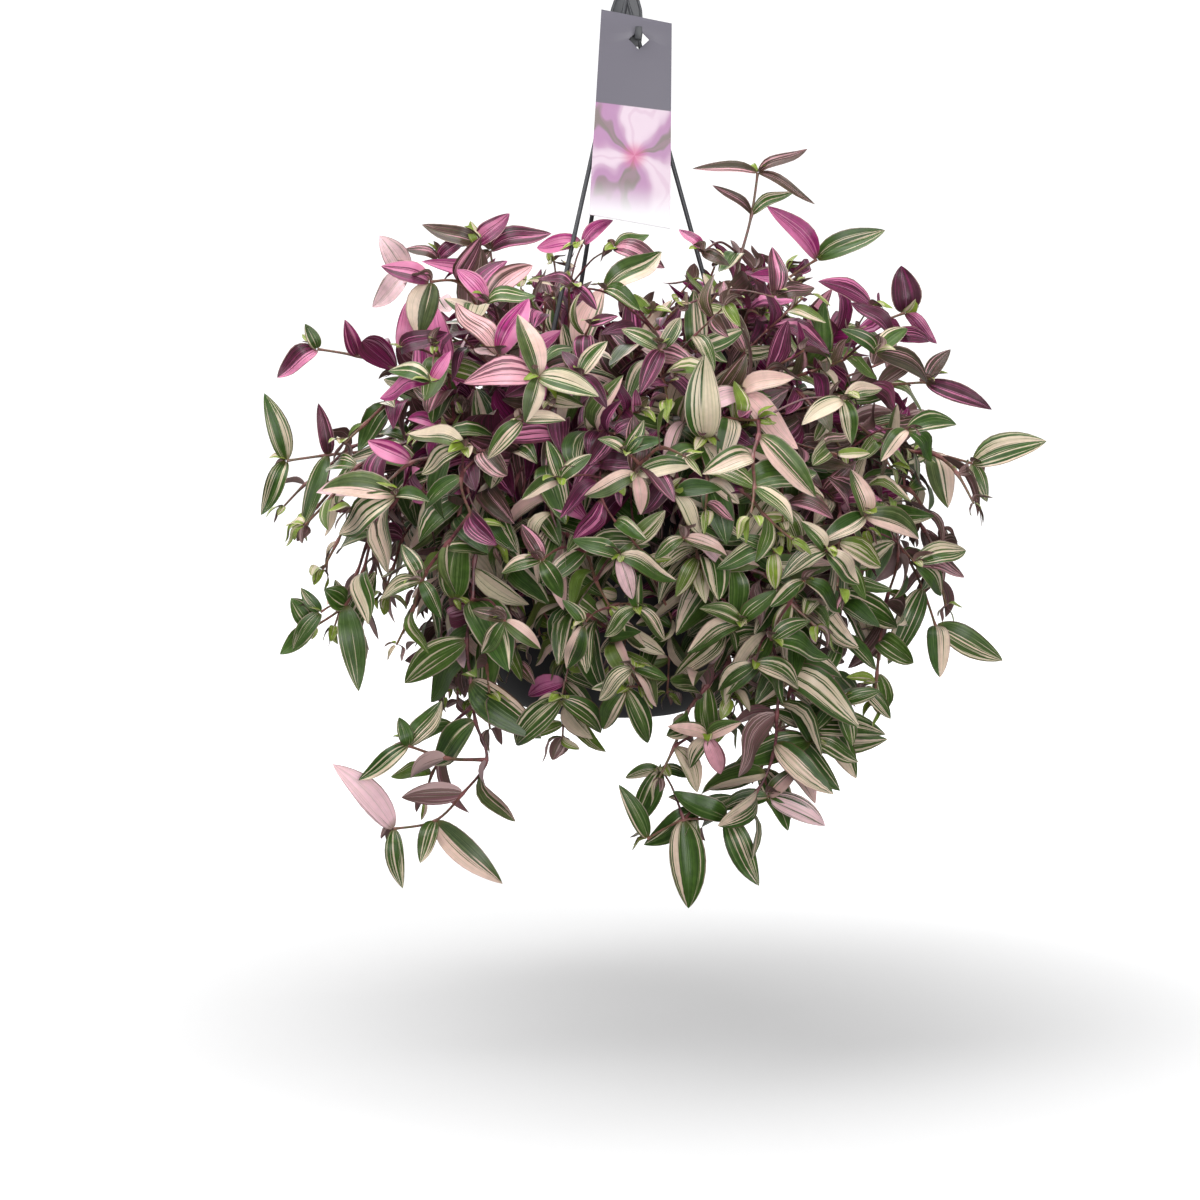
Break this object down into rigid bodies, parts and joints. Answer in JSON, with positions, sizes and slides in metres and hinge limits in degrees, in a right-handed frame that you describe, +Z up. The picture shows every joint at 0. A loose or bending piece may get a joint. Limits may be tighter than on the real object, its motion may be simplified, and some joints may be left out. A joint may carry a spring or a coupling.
{
  "type": "hanging potted tradescantia",
  "caption": "Variegated trailing tradescantia in a plastic hanging pot, whose hanger arms meet under a hook, with a plain plant label hung in front.",
  "frame": {"origin": "seat inside the top of the hook, where it rests on whatever it hangs from, on the pot's axis", "axes": "+Z up along the pot's axis, +X to the right and +Y away from whoever looks at the front, where the label hangs"},
  "size_m": [0.5091, 0.4544, 0.618],
  "materials": {
    "pot_plastic": "matt anthracite, injection moulded",
    "hanger_plastic": "satin dark grey, injection moulded",
    "label_card": null,
    "soil": "crumbly dark potting soil",
    "foliage_green": "satin leaves, green with white stripes",
    "foliage_pink": "satin leaves, cream and pink with green stripes",
    "foliage_purple": "satin leaves, purple underneath, striped on top"
  },
  "bodies": {
    "root": {"pot": "pot_plastic", "hanger": "hanger_plastic", "tag": "label_card", "soil": "soil", "spray_top": "foliage_pink", "spray_pale": "foliage_pink", "spray_purple": "foliage_purple", "spray_left_high": "foliage_purple", "spray_left_far": "foliage_green", "spray_left_pink": "foliage_pink", "spray_left_low": "foliage_green", "spray_trail_left": "foliage_pink", "spray_trail_right": "foliage_green", "spray_right_far": "foliage_green", "spray_right_purple": "foliage_purple", "spray_right_top": "foliage_purple", "spray_upper_right": "foliage_pink", "spray_right_low": "foliage_green", "spray_right_bottom": "foliage_green", "spray_low_right": "foliage_green", "spray_salmon": "foliage_pink", "spray_cream": "foliage_pink", "spray_green_top": "foliage_green", "spray_cream_left": "foliage_pink", "spray_green_left": "foliage_green", "stem_01": "foliage_purple", "stem_02": "foliage_purple", "stem_03": "foliage_purple", "stem_04": "foliage_green", "stem_05": "foliage_green", "stem_06": "foliage_purple", "stem_07": "foliage_purple", "stem_08": "foliage_purple", "stem_09": "foliage_purple", "stem_10": "foliage_green", "stem_11": "foliage_purple", "stem_12": "foliage_green", "stem_13": "foliage_green", "stem_14": "foliage_green", "stem_15": "foliage_green", "stem_16": "foliage_pink", "stem_17": "foliage_green", "stem_18": "foliage_green", "stem_19": "foliage_pink", "stem_20": "foliage_purple", "stem_21": "foliage_green", "stem_22": "foliage_green", "stem_23": "foliage_green", "stem_24": "foliage_green", "stem_25": "foliage_green", "stem_26": "foliage_purple", "stem_27": "foliage_green", "stem_28": "foliage_green", "stem_29": "foliage_green", "stem_30": "foliage_green", "stem_31": "foliage_purple", "stem_32": "foliage_green", "stem_33": "foliage_green", "stem_34": "foliage_green", "stem_35": "foliage_pink"}
  },
  "joints": []
}
